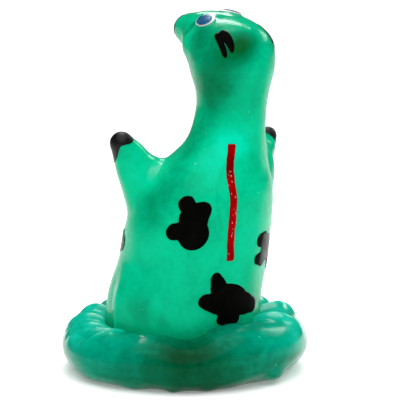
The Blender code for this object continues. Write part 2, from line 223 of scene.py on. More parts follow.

# Painted shade on the latex, and painted light where the amount is below zero: t, degrees, radius and
# amount.
PAINTED_SHADE_AND_LIGHT = [
    (12.8, 148, 3.6, 0.45), (14.2, 112, 3.2, 0.3), (15.7, 112, 1.6, 0.12), (12.9, 150, 2.0, 0.2),
    (13.3, 118, 3.5, 0.22), (12.3, 128, 4.0, 0.14), (12.0, 108, 4.5, 0.18), (11.0, 104, 4.5, 0.24),
    (11.1, 80, 3.5, 0.12), (9.6, 88, 4.0, 0.16), (8.7, 82, 3.6, 0.20), (7.65, 88, 4.0, 0.17),
    (6.8, 90, 4.0, 0.20), (6.2, 92, 3.5, 0.13), (9.0, 134, 3.0, -0.25), (8.3, 128, 4.0, -0.18),
    (6.25, 144, 2.5, 0.14), (15.3, 106, 3.0, -0.15), (7.9, 60, 5.0, -0.16), (3.3, 170, 4.5, 0.10),
    (3.9, 97, 2.0, 0.10), (3.5, 103, 2.2, 0.14), (3.3, 118, 1.5, 0.16), (12.0, 330, 5.0, 0.18),
    (10.0, 290, 5.0, 0.15), (7.0, 270, 5.0, 0.15), (5.5, 340, 6.0, 0.12), (8.5, 20, 5.0, -0.12),
    (3.4, 20, 5.0, 0.15), (3.3, 250, 5.0, 0.15), (3.4, 310, 4.0, 0.15), (7.0, 176, 4.0, -0.06),
    (8.9, 152, 2.2, -0.2), (8.9, 163, 1.6, -0.15), (5.6, 60, 6.0, -0.08),
]  # fmt: skip

# Painted shade along the mouth creases, a darker seam line, and a paler painted highlight along the fold:
# how much, and half the width.
MOUTH_PAINTED_SHADE = (0.6, 0.5)
SEAM_TONE = (0.09, 0.35)
FOLD_PAINTED_HIGHLIGHT = (-0.27, 1.2)

# A faint line beside the stripe where one dip of latex ends: t and degrees.
SEAM = [(8.7, 150), (8.3, 143), (7.4, 141), (6.6, 146), (6.1, 152)]

# The upright fold low on the left side: a ridge and a hollow beside it, each at an angle from +X, with its
# height and width, and the heights between which both fade out.
FOLD_RIDGE = (-3, 0.7, 3.5)
FOLD_HOLLOW = (-14, 0.35, 7)
FOLD_FADES = (24.5, 15.5)

# Places where the form is fuller or leaner than its sections: x, y, z, radius and lift.
FULLNESS = [
    (1.2, -1.0, 69.2, 2.6, -0.35), (1.5, 1.6, 68.2, 2.4, 0.75), (2.2, 8.3, 62.0, 3.5, -0.4),
    (-0.2, 0.5, 74.8, 2.5, 0.25), (-14.5, 6.0, 43.0, 4.0, 0.5),
]  # fmt: skip

# Where handling has polished the skin: x, y, z, radius and how much.
POLISHED = [(-2.0, 9.5, 74.6, 6.0, 1.0), (8.5, 0.5, 43.5, 5.5, 1.0)]
# How much the paint on the hands is polished all over.
HAND_POLISH = 0.2

# The skin is nowhere quite even: by how much, and over what length.
SKIN_UNEVENNESS = 0.12
SKIN_WAVE = 8

# Where the bend under the chin is eased: x, y, z and radius.
THROAT = [(0.0, 1.4, 67.0, 8.5), (-3.6, 1.0, 61.6, 6.5)]

# Between these heights a web joins body and arms. It is smoothed fully within the first reach of both, and
# not at all beyond the second.
WEB_HEIGHTS = (30, 53)
WEB_REACH = (0.8, 4.0)

# How the skin is smoothed: where, how strongly and how many times.
SMOOTHING = [("web", 0.6, 60), ("throat", 0.6, 220), ("everywhere", 0.5, 6)]

# Colours of the latex from pale to deep, picked by its tone of painted shade and light, and of each paint,
# the floor and the wall from dark to pale.
SKIN_GREENS = [
    (0.0, (0.002, 0.88, 0.61)), (0.3, (0.001, 0.68, 0.38)), (0.65, (0.0, 0.31, 0.155)),
    (1.0, (0.0, 0.14, 0.03)),
]  # fmt: skip
ROLL_GREENS = [
    (0.0, (0.01, 0.75, 0.54)), (0.35, (0.0, 0.40, 0.25)), (0.7, (0.0, 0.15, 0.07)),
    (1.0, (0.0, 0.06, 0.018)),
]  # fmt: skip
BLACKS = [(0, (0.0005, 0.0005, 0.0004)), (1, (0.002, 0.002, 0.0015))]
REDS = [(0, (0.12, 0.0, 0.0005)), (1, (0.36, 0.0, 0.001))]
WHITES = [(0, (0.55, 0.60, 0.60)), (1, (0.70, 0.74, 0.74))]
BLUES = [(0, (0.004, 0.045, 0.12)), (1, (0.02, 0.12, 0.26))]
FLOOR_GREYS = [(0, (0.92, 0.92, 0.92)), (1, (0.96, 0.96, 0.96))]
WALL_GREYS = [(0, (0.97, 0.97, 0.97)), (1, (1, 1, 1))]
# Colours of the dust on the latex, and of the painted highlights on the red paint.
DUST = (0.45, 0.85, 0.70)
GLINT = (0.9, 0.75, 0.75)

# Softboxes: name, place, what it points at, width and height, and power in watts.
SOFTBOXES = [
    ("high_strip", (-105, -130, 370), (0, 5, 50), (300, 48), 0.68),
    ("side_box", (-350, -20, 240), (5, 5, 45), (200, 90), 0.32),
    ("low_box", (-163, -260, 250), (0, 0, 10), (110, 50), 0.15),
]
# A large soft light from above: its strength, where it points and how wide it looks, in degrees.
SKY_PANEL_ENERGY = 3.5
SKY_PANEL_DIRECTION = (-0.25, -0.42, -1)
SKY_PANEL_SPREAD = 80
# The round floor, and the wall that stands on it.
STAGE_AROUND = 96
FLOOR_RADIUS = 2500
WALL_RADIUS = 2450
WALL_HEIGHT = 800


# ---------------------------------------------------------------- shapes


def catmull_rom(points, t):
    """The point at t on a smooth curve through the points, where t counts points."""
    last = len(points) - 1
    first = min(int(t), last - 1)
    u = t - first
    here, there = points[first], points[first + 1]
    before = points[first - 1] if first > 0 else tuple(2 * a - b for a, b in zip(here, there))
    after = points[first + 2] if first + 2 <= last else tuple(2 * b - a for a, b in zip(here, there))
    blended = []
    for p0, p1, p2, p3 in zip(before, here, there, after):
        slope_in = (p2 - p0) / 2
        slope_out = (p3 - p1) / 2
        rise = p2 - p1
        square = 3 * rise - 2 * slope_in - slope_out
        cube = slope_in + slope_out - 2 * rise
        blended.append(p1 + slope_in * u + square * u**2 + cube * u**3)
    return blended


class Sweep:
    """A round form along a curve through stations, ending in a rounded tip of the given length."""

    def __init__(self, stations, side, tip_length):
        self.stations = stations
        self.side = side
        self.tip_length = tip_length
        self.last = len(stations) - 1

    def along(self, t):
        """The direction a section at t faces."""
        if len(self.stations[0]) == 6:
            lean = math.radians(catmull_rom(self.stations, t)[5])
            front = self.side.cross(Vector((0, 0, 1)))
            return Vector((0, 0, math.cos(lean))) + front * math.sin(lean)
        ahead = Vector(catmull_rom(self.stations, min(t + 0.05, self.last))[:3])
        behind = Vector(catmull_rom(self.stations, max(t - 0.05, 0))[:3])
        return (ahead - behind).normalized()

    def frame(self, t):
        """Centre, the directions forward and sideways, and the half depth and half width at t."""
        on_curve = min(t, self.last)
        station = catmull_rom(self.stations, on_curve)
        along = self.along(on_curve)
        forward = self.side.cross(along).normalized()
        centre = Vector(station[:3])
        deep = station[3]
        wide = station[min(4, len(station) - 1)]
        if t > self.last:
            turn = (t - self.last) * math.pi / 2
            centre += along * self.tip_length * math.sin(turn)
            deep, wide = deep * math.cos(turn), wide * math.cos(turn)
        return centre, forward, along.cross(forward).normalized(), deep, wide

    def point(self, t, angle):
        """The point of the surface at t and angle. Angle 0 is the front, 90 degrees the left side."""
        centre, forward, sideways, deep, wide = self.frame(t)
        return centre + forward * deep * math.cos(angle) + sideways * wide * math.sin(angle)

    def add_to(self, shape, around, steps):
        """Adds the sweep to a bmesh as a closed solid."""
        stops = [k / steps for k in range(self.last * steps + 1)]
        stops += [self.last + k / TIP_STEPS for k in range(1, TIP_STEPS)]
        turns = [2 * math.pi * k / around for k in range(around)]
        loops = [[shape.verts.new(self.point(t, angle)) for angle in turns] for t in stops]
        join_loops(shape, loops)
        shape.faces.new(list(reversed(loops[0])))
        tip = shape.verts.new(self.point(self.last + 1, 0))
        for k in range(around):
            shape.faces.new((loops[-1][k], loops[-1][(k + 1) % around], tip))


def join_loops(shape, loops):
    """Quads between closed loops of equal count."""
    for lower, upper in zip(loops, loops[1:]):
        count = len(lower)
        for k in range(count):
            shape.faces.new((lower[k], lower[(k + 1) % count], upper[(k + 1) % count], upper[k]))


def mesh_object(name, shape):
    """An object from a bmesh in millimetres, smooth all over."""
    bmesh.ops.scale(shape, vec=Vector((MM, MM, MM)), verts=shape.verts)
    mesh = bpy.data.meshes.new(name)
    shape.to_mesh(mesh)
    shape.free()
    mesh.shade_smooth()
    made = bpy.data.objects.new(name, mesh)
    bpy.context.scene.collection.objects.link(made)
    return made


def applied(thing):
    """The object with its modifiers applied."""
    graph = bpy.context.evaluated_depsgraph_get()
    mesh = bpy.data.meshes.new_from_object(thing.evaluated_get(graph))
    thing.modifiers.clear()
    thing.data = mesh
    return thing


def coordinates(mesh):
    """The mesh's vertices, a row for each."""
    flat = np.empty(len(mesh.vertices) * 3)
    mesh.vertices.foreach_get("co", flat)
    return flat.reshape(-1, 3)


def normals(mesh):
    """The mesh's vertex normals, a row for each."""
    flat = np.empty(len(mesh.vertices) * 3)
    mesh.vertex_normals.foreach_get("vector", flat)
    return flat.reshape(-1, 3)


def smooth_step(low, high, value):
    """0 at low and beyond, 1 at high and beyond, and an even bend between."""
    share = np.clip((value - low) / (high - low), 0, 1)
    return share * share * (3 - 2 * share)


def bell(distance):
    """A smooth bump: 1 at no distance, and close to nothing at 2 or more."""
    return np.exp(-(distance**2))


def surface_of(sweep, around, steps):
    """A search tree over the sweep's surface, in metres."""
    shape = bmesh.new()
    sweep.add_to(shape, around, steps)
    bmesh.ops.scale(shape, vec=Vector((MM, MM, MM)), verts=shape.verts)
    tree = BVHTree.FromBMesh(shape)
    shape.free()
    return tree


def build_skin(body, arms):
    """The whole skin as one fine mesh: body and arms run together, with soft webs between them."""
    shape = bmesh.new()
    body.add_to(shape, BODY_AROUND, STEPS)
    for arm in arms:
        arm.add_to(shape, ARM_AROUND, STEPS)
    skin = mesh_object("skin", shape)
    remesh = skin.modifiers.new("remesh", "REMESH")
    remesh.mode = "VOXEL"
    remesh.voxel_size = VOXEL * MM
    remesh.use_smooth_shade = True
    applied(skin)

    # Vertices near both the body and an arm are the web. Smoothing rounds it out, and the throat's bend too.
    places = coordinates(skin.data)
    body_tree = surface_of(body, BODY_AROUND, STEPS)
    arm_trees = [surface_of(arm, ARM_AROUND, STEPS) for arm in arms]
    web = skin.vertex_groups.new(name="web")
    everywhere = skin.vertex_groups.new(name="everywhere")
    everywhere.add(range(len(places)), 1.0, "REPLACE")
    low, high = (height * MM for height in WEB_HEIGHTS)
    near, far = (reach * MM for reach in WEB_REACH)
    for k in np.flatnonzero((places[:, 2] > low) & (places[:, 2] < high)):
        place = Vector(places[k])
        from_body = body_tree.find_nearest(place)[3]
        from_arm = min(tree.find_nearest(place)[3] for tree in arm_trees)
        weight = 1 - float(smooth_step(near, far, max(from_body, from_arm)))
        if weight > 0:
            web.add([int(k)], weight, "REPLACE")
    throat = skin.vertex_groups.new(name="throat")
    eased = np.zeros(len(places))
    for x, y, z, radius in THROAT:
        away = np.linalg.norm(places / MM - (x, y, z), axis=1) / radius
        eased = np.maximum(eased, smooth_step(1, 0.6, away))
    for k in np.flatnonzero(eased):
        throat.add([int(k)], float(eased[k]), "REPLACE")
    for group, factor, repeats in SMOOTHING:
        smooth = skin.modifiers.new(group, "SMOOTH")
        smooth.factor = factor
        smooth.iterations = repeats
        smooth.vertex_group = group
    applied(skin)
    skin.vertex_groups.clear()
    shape_skin(skin.data, body)
    return skin


def distance_to_line(places, line):
    """Each place's distance to a line through points."""
    nearest = np.full(len(places), np.inf)
    for a, b in zip(line, line[1:]):
        run = b - a
        share = np.clip((places - a) @ run / (run @ run), 0, 1)
        nearest = np.minimum(nearest, np.linalg.norm(places - a - share[:, None] * run, axis=1))
    return nearest


def place_on(body, spot):
    """A place (t, degrees) of the body as an array."""
    t, degrees = spot
    return np.array(body.point(t, math.radians(degrees)))


def line_on(body, spots):
    """Places along a smooth curve on the body through places (t, degrees)."""
    steps = 8
    curve = (catmull_rom(spots, k / steps) for k in range(steps * (len(spots) - 1) + 1))
    return [place_on(body, spot) for spot in curve]


def mouth_lines(body):
    """The two creases behind the muzzle, one on each cheek, as places along them."""
    mirrored = [(t, 2 * HEAD_MIDDLE - degrees) for t, degrees in MOUTH]
    return [line_on(body, spots) for spots in (MOUTH, mirrored)]


def shape_skin(mesh, body):
    """Presses the creases and the fold into the skin, swells the eyes, and leaves it slightly uneven."""
    places = coordinates(mesh) / MM
    outward = normals(mesh)
    lift = np.zeros(len(places))
    for line in mouth_lines(body):
        lift -= MOUTH_DEPTH * bell(distance_to_line(places, line) / MOUTH_HALF_WIDTH)
    turn = np.degrees(np.arctan2(places[:, 1], places[:, 0]))
    low = smooth_step(*FOLD_FADES, places[:, 2])
    angle, height, width = FOLD_RIDGE
    lift += height * low * np.exp(-np.abs(turn - angle) / width)
    angle, height, width = FOLD_HOLLOW
    lift -= height * low * bell((turn - angle) / width)
    for x, y, z, radius, amount in FULLNESS:
        lift += amount * bell(np.linalg.norm(places - (x, y, z), axis=1) / radius)
    for eye in EYES:
        away = np.linalg.norm(places - place_on(body, eye), axis=1)
        lift += EYE_BULGE * smooth_step(3.0, 1.2, away)
    for k, place in enumerate(places):
        lift[k] += SKIN_UNEVENNESS * noise.noise(Vector(place) / SKIN_WAVE)
    places += outward * lift[:, None]
    mesh.vertices.foreach_set("co", (places * MM).ravel())
    mesh.update()


def part_of(skin, name, keep):
    """The faces of the skin that keep picks, as an object of its own with the whole skin's normals."""
    mesh = skin.data
    whole_normals = normals(mesh)
    shape = bmesh.new()
    shape.from_mesh(mesh)
    shape.verts.ensure_lookup_table()
    index = shape.verts.layers.int.new("skin_index")
    for k, vertex in enumerate(shape.verts):
        vertex[index] = k
    unwanted = [face for face in shape.faces if not keep[face.index]]
    bmesh.ops.delete(shape, geom=unwanted, context="FACES")
    kept = [vertex[index] for vertex in shape.verts]
    shape.verts.layers.int.remove(index)
    made_mesh = bpy.data.meshes.new(name)
    shape.to_mesh(made_mesh)
    shape.free()
    made_mesh.shade_smooth()
    made_mesh.normals_split_custom_set_from_vertices([whole_normals[k] for k in kept])
    made = bpy.data.objects.new(name, made_mesh)
    bpy.context.scene.collection.objects.link(made)
    return made


def face_centres(mesh):
    """The middle of each face, in millimetres."""
    flat = np.empty(len(mesh.polygons) * 3)
    mesh.polygons.foreach_get("center", flat)
    return flat.reshape(-1, 3) / MM


def arm_faces(centres, bend):
    """The faces of an arm, from a little before its bend to its tip."""
    start, end = (np.array(p) for p in bend)
    along = (end - start) / np.linalg.norm(end - start)
    reach = (centres - start) @ along
    aside = np.linalg.norm(centres - start - reach[:, None] * along, axis=1)
    return (reach > -0.5) & (aside < ARM_PIECE_RADIUS)


# ---------------------------------------------------------------- the rolled rim


def rim_top_at(angle):
    """The height of the roll's top at an angle round it, smoothed between the listed places."""
    spots = [a for a, _ in RIM_TOP]
    heights = [h for _, h in RIM_TOP]
    window = np.linspace(-5, 5, 9)
    return float(np.mean(np.interp(((angle + window + 180) % 360) - 180, spots, heights)))


def gap_between(a, b):
    """The angle from a to b, between -180 and 180."""
    return (b - a + 180) % 360 - 180


def pleats_at(angle, about):
    """How far the pleats stand out at an angle round the roll and an angle about it.

    They begin at the roll's outside, turn to their inner angle on top, and fade on the way down inside.
    """
    inward = float(smooth_step(30, 130, about))
    gathered = float(smooth_step(5, 90, about)) * (1 - 0.7 * float(smooth_step(165, 200, about)))
    total = 0.0
    for inner, outer, width, height in PLEATS:
        ridge = outer + gap_between(outer, inner) * inward
        away = abs(gap_between(ridge, angle)) / (width * (1.5 - 0.5 * inward))
        if away < PLEAT_REACH:
            total = max(total, height * (math.exp(-(away**1.3)) - math.exp(-(PLEAT_REACH**1.3))))
    return gathered * (total - PLEAT_SINK)


def body_radius_at(body, height):
    """The body's radius at a height near its base."""
    heights = [station[2] for station in BODY[:6]]
    return body.frame(float(np.interp(height, heights, range(6))))[3]


def build_rim(body):
    """The roll, as a tube pressed against the body, pleated where it is gathered and lumpy below."""
    shape = bmesh.new()
    loops = []
    pleated = []
    for k in range(RIM_AROUND):
        angle = 360 * k / RIM_AROUND - 180
        half_height = (rim_top_at(angle) - RIM_BOTTOM) / 2
        turn = math.radians(angle + RIM_NEAR)
        loop = []
        for j in range(RIM_ACROSS):
            about = RIM_FIRST + RIM_TURN * j / (RIM_ACROSS - 1)
            out, up = math.cos(math.radians(about)), math.sin(math.radians(about))
            swell = pleats_at(angle, about)
            pleated.append(swell)
            for place, low, wide, tall, height in LUMPS:
                away = gap_between(place, angle) / wide
                below = (about - low) / tall
                swell += height * math.exp(-(away**2) - below**2)
            where = Vector((math.cos(turn) * 3, math.sin(turn) * 3, about / 60))
            swell += RIM_UNEVENNESS * noise.noise(where)
            radius = RIM_RADIUS + (RIM_HALF_WIDTH + swell) * out
            height = max(RIM_BOTTOM + half_height * (1 + up) + swell * up, 0.02)
            place = Vector((radius * math.cos(turn), radius * math.sin(turn), height))
            if out < 0.3:
                centre = Vector((*ROLLED_ROUND, height))
                clear = body_radius_at(body, height) + RIM_GAP
                from_axis = place - centre
                if from_axis.length < clear:
                    place = centre + from_axis.normalized() * clear
            loop.append(shape.verts.new(place))
        loops.append(loop)
    for k in range(RIM_AROUND):
        here, there = loops[k], loops[(k + 1) % RIM_AROUND]
        for j in range(RIM_ACROSS - 1):
            shape.faces.new((here[j], there[j], there[j + 1], here[j + 1]))
    rim = mesh_object("rolled_rim", shape)
    write_attribute(rim.data, "pleated", np.array(pleated))
    return rim


# ---------------------------------------------------------------- paint films


def run_together(circles, blend=0.35):
    """The outline of overlapping circles seen from (0, 0), with the corners between them filled."""
    u, v, radii = (np.array(column)[:, None, None] for column in zip(*circles))
    turns = np.linspace(0, 2 * math.pi, OUTLINE_TURNS, endpoint=False)[None, :, None]
    reach = np.arange(0, OUTLINE_REACH, OUTLINE_STEP)[None, None, :]
    gaps = np.hypot(np.cos(turns) * reach - u, np.sin(turns) * reach - v) - radii
    inside = -blend * np.log(np.exp(-gaps / blend).sum(axis=0)) < 0
    edge = [float(reach[0, 0, np.flatnonzero(row)[-1]]) for row in inside]
    return [(r * math.cos(turn), r * math.sin(turn)) for r, turn in zip(edge, turns.ravel())]


def rounded(outline, rounds=3):
    """The outline with its corners cut again and again until they are round."""
    for _ in range(rounds):
        cut = []
        for (x0, y0), (x1, y1) in zip(outline, outline[1:] + outline[:1]):
            cut.append((0.75 * x0 + 0.25 * x1, 0.75 * y0 + 0.25 * y1))
            cut.append((0.25 * x0 + 0.75 * x1, 0.25 * y0 + 0.75 * y1))
        outline = cut
    return outline


def lay(thing, tree, lifts):
    """Lays each vertex of the object on the skin, lifted off it by the lifts in turn, and thickens it."""
    for vertex in thing.data.vertices:
        place, outward, _, _ = tree.find_nearest(vertex.co)
        vertex.co = place + outward * lifts[vertex.index % len(lifts)] * MM
    thing.data.update()
    thick = thing.modifiers.new("thickness", "SOLIDIFY")
    thick.thickness = FILM_THICKNESS * MM
    thick.offset = 1
    applied(thing)
    return thing


def film(name, sweep, place, outline, tree, lift=FILM_LIFT):
    """A paint film at a place (t, degrees) of the sweep, with its outline in millimetres round and up."""
    middle, degrees = place
    around = math.radians(degrees)
    up_scale = (sweep.point(middle + 0.1, around) - sweep.point(middle - 0.1, around)).length / 0.2
    shape = bmesh.new()
    shape.faces.new([shape.verts.new((u, v, 0)) for u, v in outline])
    for across in (Vector((1, 0, 0)), Vector((0, 1, 0))):
        for k in range(-FILM_SQUARES, FILM_SQUARES + 1):
            everything = shape.verts[:] + shape.edges[:] + shape.faces[:]
            cut = across * k * FILM_SQUARE
            bmesh.ops.bisect_plane(shape, geom=everything, dist=0.001, plane_co=cut, plane_no=across)
    for vertex in shape.verts:
        t = middle + vertex.co.y / up_scale
        vertex.co = sweep.point(t, around + vertex.co.x / sweep.frame(t)[4])
    return lay(mesh_object(name, shape), tree, [lift])


def ribbon(name, sweep, line, width, tree):
    """A painted line on the sweep through places (t, degrees), a little uneven as a brush leaves it."""
    steps = 24
    columns = [j / 4 for j in range(-4, 5)]
    shape = bmesh.new()
    rows = []
    for k in range(steps * (len(line) - 1) + 1):
        t, degrees = catmull_rom(line, k / steps)
        sway = 0.12 * noise.noise(Vector((k / 9, 0, 0)))
        half = (width / 2 + 0.1 * noise.noise(Vector((k / 7, 5, 0)))) / sweep.frame(t)[4]
        centre = math.radians(degrees) + sway / sweep.frame(t)[4]
        rows.append([shape.verts.new(sweep.point(t, centre + half * share)) for share in columns])
    for lower, upper in zip(rows, rows[1:]):
        for j in range(len(columns) - 1):
            shape.faces.new((lower[j], lower[j + 1], upper[j + 1], upper[j]))
    lifts = [FILM_LIFT + STRIPE_BULGE * (1 - abs(share) ** 3) for share in columns]
    return lay(mesh_object(name, shape), tree, lifts)


def tip_film(name, sweep, edge, reach, scoop, deepest, tree):
    """A film over the sweep's tip, up to t = edge.

    It reaches further back at the deepest angle, and is scooped out between that angle and the opposite one.
    """
    around, rows = 72, 24
    shape = bmesh.new()
    loops = []
    for j in range(rows):
        loop = []
        for k in range(around):
            angle = 2 * math.pi * k / around
            wobble = 0.05 * noise.noise(Vector((math.cos(angle) * 2, math.sin(angle) * 2, edge)))
            turned = angle - math.radians(deepest)
            start = edge - reach * math.cos(turned) - scoop * math.cos(2 * turned) + wobble
            loop.append(shape.verts.new(sweep.point(start + (sweep.last + 1 - start) * j / rows, angle)))
        loops.append(loop)
    join_loops(shape, loops)
    tip = shape.verts.new(sweep.point(sweep.last + 1, 0))
    for k in range(around):
        shape.faces.new((loops[-1][k], loops[-1][(k + 1) % around], tip))
    return lay(mesh_object(name, shape), tree, [FILM_LIFT])


# ---------------------------------------------------------------- materials


def node(tree, kind, **values):
    """A new node with the given settings."""
    made = tree.nodes.new(kind)
    for key, value in values.items():
        setattr(made, key, value)
    return made


def maths(tree, operation, first, second):
    """A node that works on two values, each a number or another node's output."""
    made = node(tree, "ShaderNodeMath", operation=operation)
    for k, value in enumerate((first, second)):
        if isinstance(value, (int, float)):
            made.inputs[k].default_value = value
        else:
            tree.links.new(value, made.inputs[k])
    return made.outputs[0]


def ranged(tree, value, low, high, to_low, to_high):
    """The value moved from one range to another and kept inside it."""
    made = node(tree, "ShaderNodeMapRange")
    for key, number in (("From Min", low), ("From Max", high), ("To Min", to_low), ("To Max", to_high)):
        made.inputs[key].default_value = number
    tree.links.new(value, made.inputs["Value"])
    return made.outputs["Result"]


def noise_of(tree, scale, detail=2.0, distortion=0.0, stretch=None):
    """Noise over the object's own coordinates, in features per metre."""
    made = node(tree, "ShaderNodeTexNoise")
    made.inputs["Scale"].default_value = scale
    made.inputs["Detail"].default_value = detail
    made.inputs["Distortion"].default_value = distortion
    place = node(tree, "ShaderNodeTexCoord").outputs["Object"]
    if stretch:
        mapping = node(tree, "ShaderNodeMapping")
        mapping.inputs["Scale"].default_value = stretch
        tree.links.new(place, mapping.inputs["Vector"])
        place = mapping.outputs["Vector"]
    tree.links.new(place, made.inputs["Vector"])
    return made.outputs["Fac"]


def ramp(tree, value, stops):
    """A colour for each value, by stops of position and colour."""
    made = node(tree, "ShaderNodeValToRGB")
    points = made.color_ramp.elements
    while len(points) < len(stops):
        points.new(0.5)
    for point, (position, colour) in zip(points, stops):
        point.position = position
        point.color = (*colour, 1)
    tree.links.new(value, made.inputs["Fac"])
    return made.outputs["Color"]


def wavering(tree, amount, *noise_settings):
    """Noise that swings round zero, by up to half the amount each way."""
    return maths(tree, "MULTIPLY", maths(tree, "SUBTRACT", noise_of(tree, *noise_settings), 0.5), amount)


def mixed(tree, share, colour, other):
    """The colour with a share of another, plain one."""
    made = node(tree, "ShaderNodeMix", data_type="RGBA")
    tree.links.new(share, made.inputs["Factor"])
    tree.links.new(colour, made.inputs["A"])
    made.inputs["B"].default_value = (*other, 1)
    return made.outputs["Result"]


def bump(tree, height, distance, strength):
    """The normal of a surface that height raises by up to the distance, in millimetres."""
    made = node(tree, "ShaderNodeBump")
    made.inputs["Strength"].default_value = strength
    made.inputs["Distance"].default_value = distance * MM
    tree.links.new(height, made.inputs["Height"])
    return made.outputs["Normal"]


def set_gloss(tree, shader, facing, grazing, start=0.44):
    """Little gloss where a surface is seen straight on, more towards its edges and where it is polished."""
    edge = node(tree, "ShaderNodeLayerWeight")
    edge.inputs["Blend"].default_value = 0.5
    level = ranged(tree, edge.outputs["Facing"], start, 0.85, facing, grazing)
    polish = node(tree, "ShaderNodeAttribute", attribute_name="polish").outputs["Fac"]
    tree.links.new(maths(tree, "MAXIMUM", level, polish), shader.inputs["Specular IOR Level"])


def new_material(name):
    """A material with its node tree and its shader."""
    made = bpy.data.materials.new(name)
    made.use_nodes = True
    return made, made.node_tree, made.node_tree.nodes["Principled BSDF"]


def latex(name, stops, translucence, banding, grazing):
    """Glossy dipped latex that lets some light through. Its tone, mostly painted shade and painted light
    with some mottling, runs its colour from pale to deep.
    """
    made, tree, shader = new_material(name)
    link = tree.links.new
    # The tone attribute carries painted shade and painted light.
    tone = node(tree, "ShaderNodeAttribute", attribute_name="tone").outputs["Fac"]
    cloudy = wavering(tree, 0.42, 150, 3.0, 0.6)
    mottled = wavering(tree, 0.16, 900, 2.0)
    tone = maths(tree, "ADD", maths(tree, "ADD", tone, cloudy), mottled)
    if banding:
        tone = maths(tree, "ADD", tone, wavering(tree, banding, 420, 2.0, 0.0, (0.12, 0.12, 2.2)))
    colour = ramp(tree, tone, stops)

    # Tiny pale specks of dust and powder that cling to the latex.
    dots = node(tree, "ShaderNodeTexVoronoi")
    dots.inputs["Scale"].default_value = 620
    dots.inputs["Randomness"].default_value = 1.0
    link(node(tree, "ShaderNodeTexCoord").outputs["Object"], dots.inputs["Vector"])
    near = ranged(tree, dots.outputs["Distance"], 0.06, 0.12, 1, 0)
    picked = ranged(tree, noise_of(tree, 260, 1.0), 0.60, 0.68, 0, 0.55)
    dusted = mixed(tree, maths(tree, "MULTIPLY", near, picked), colour, DUST)
    link(dusted, shader.inputs["Base Color"])

    link(ranged(tree, noise_of(tree, 500, 3.0), 0.3, 0.7, 0.11, 0.22), shader.inputs["Roughness"])
    shader.inputs["IOR"].default_value = 1.5
    set_gloss(tree, shader, 0.04, grazing)
    link(bump(tree, noise_of(tree, 330, 3.0, 0.4), 0.3, 0.2), shader.inputs["Normal"])

    through = node(tree, "ShaderNodeBsdfTranslucent")
    link(dusted, through.inputs["Color"])
    mix = node(tree, "ShaderNodeMixShader")
    mix.inputs["Fac"].default_value = translucence
    link(shader.outputs[0], mix.inputs[1])
    link(through.outputs[0], mix.inputs[2])
    link(mix.outputs[0], tree.nodes["Material Output"].inputs["Surface"])
    return made


def paint(name, stops, roughness, gloss, scale=350, glints=0.0):
    """Brushed paint, uneven in depth and faintly lumpy. Glints are painted highlights: specks of pale colour
    mixed into it.
    """
    made, tree, shader = new_material(name)
    link = tree.links.new
    colour = ramp(tree, ranged(tree, noise_of(tree, scale, 4.0, 0.5), 0.3, 0.7, 0, 1), stops)
    # Painted highlights: pale specks, gathered in patches.
    if glints:
        glint_specks = ranged(tree, noise_of(tree, 2300, 1.0, 0.0, (1, 1, 0.45)), 0.66, 0.70, 0, glints)
        gathered = ranged(tree, noise_of(tree, 330, 1.0), 0.48, 0.56, 0, 1)
        colour = mixed(tree, maths(tree, "MULTIPLY", glint_specks, gathered), colour, GLINT)
    link(colour, shader.inputs["Base Color"])
    uneven = ranged(tree, noise_of(tree, 700, 2.0), 0.3, 0.7, roughness - 0.08, roughness + 0.08)
    link(uneven, shader.inputs["Roughness"])
    set_gloss(tree, shader, *gloss)
    link(bump(tree, noise_of(tree, 1100, 3.0), 0.08, 0.5), shader.inputs["Normal"])
    return made


def write_attribute(mesh, name, values):
    """Gives each vertex a value that the materials can read."""
    attribute = mesh.attributes.new(name, "FLOAT", "POINT")
    attribute.data.foreach_set("value", values.astype(np.float32))


def tone_skin(mesh, body):
    """Writes the skin's tone at each vertex, which is painted shade and painted light, and where handling
    has polished it.
    """
    places = coordinates(mesh) / MM
    # Painted shade: the head is a little darker than the body, and the body's foot inside the roll is darker
    # too.
    tone = 0.32 + 0.06 * smooth_step(54, 62, places[:, 2]) + 0.22 * smooth_step(14, 8, places[:, 2])
    for t, degrees, radius, amount in PAINTED_SHADE_AND_LIGHT:
        away = np.linalg.norm(places - place_on(body, (t, degrees)), axis=1)
        tone += amount * bell(away / radius)
    # Painted shade along the mouth creases, the darker seam line, and a painted highlight along the fold.
    amount, half_width = MOUTH_PAINTED_SHADE
    for line in mouth_lines(body):
        tone += amount * bell(distance_to_line(places, line) / half_width)
    amount, half_width = SEAM_TONE
    tone += amount * bell(distance_to_line(places, line_on(body, SEAM)) / half_width)
    amount, half_width = FOLD_PAINTED_HIGHLIGHT
    turn = np.degrees(np.arctan2(places[:, 1], places[:, 0]))
    tone += amount * smooth_step(*FOLD_FADES, places[:, 2]) * bell((turn - FOLD_RIDGE[0]) / half_width)
    write_attribute(mesh, "tone", tone)
    polish = np.zeros(len(places))
    for x, y, z, radius, amount in POLISHED:
        away = np.linalg.norm(places - (x, y, z), axis=1) / radius
        polish = np.maximum(polish, amount * smooth_step(1, 0.4, away))
    write_attribute(mesh, "polish", polish)


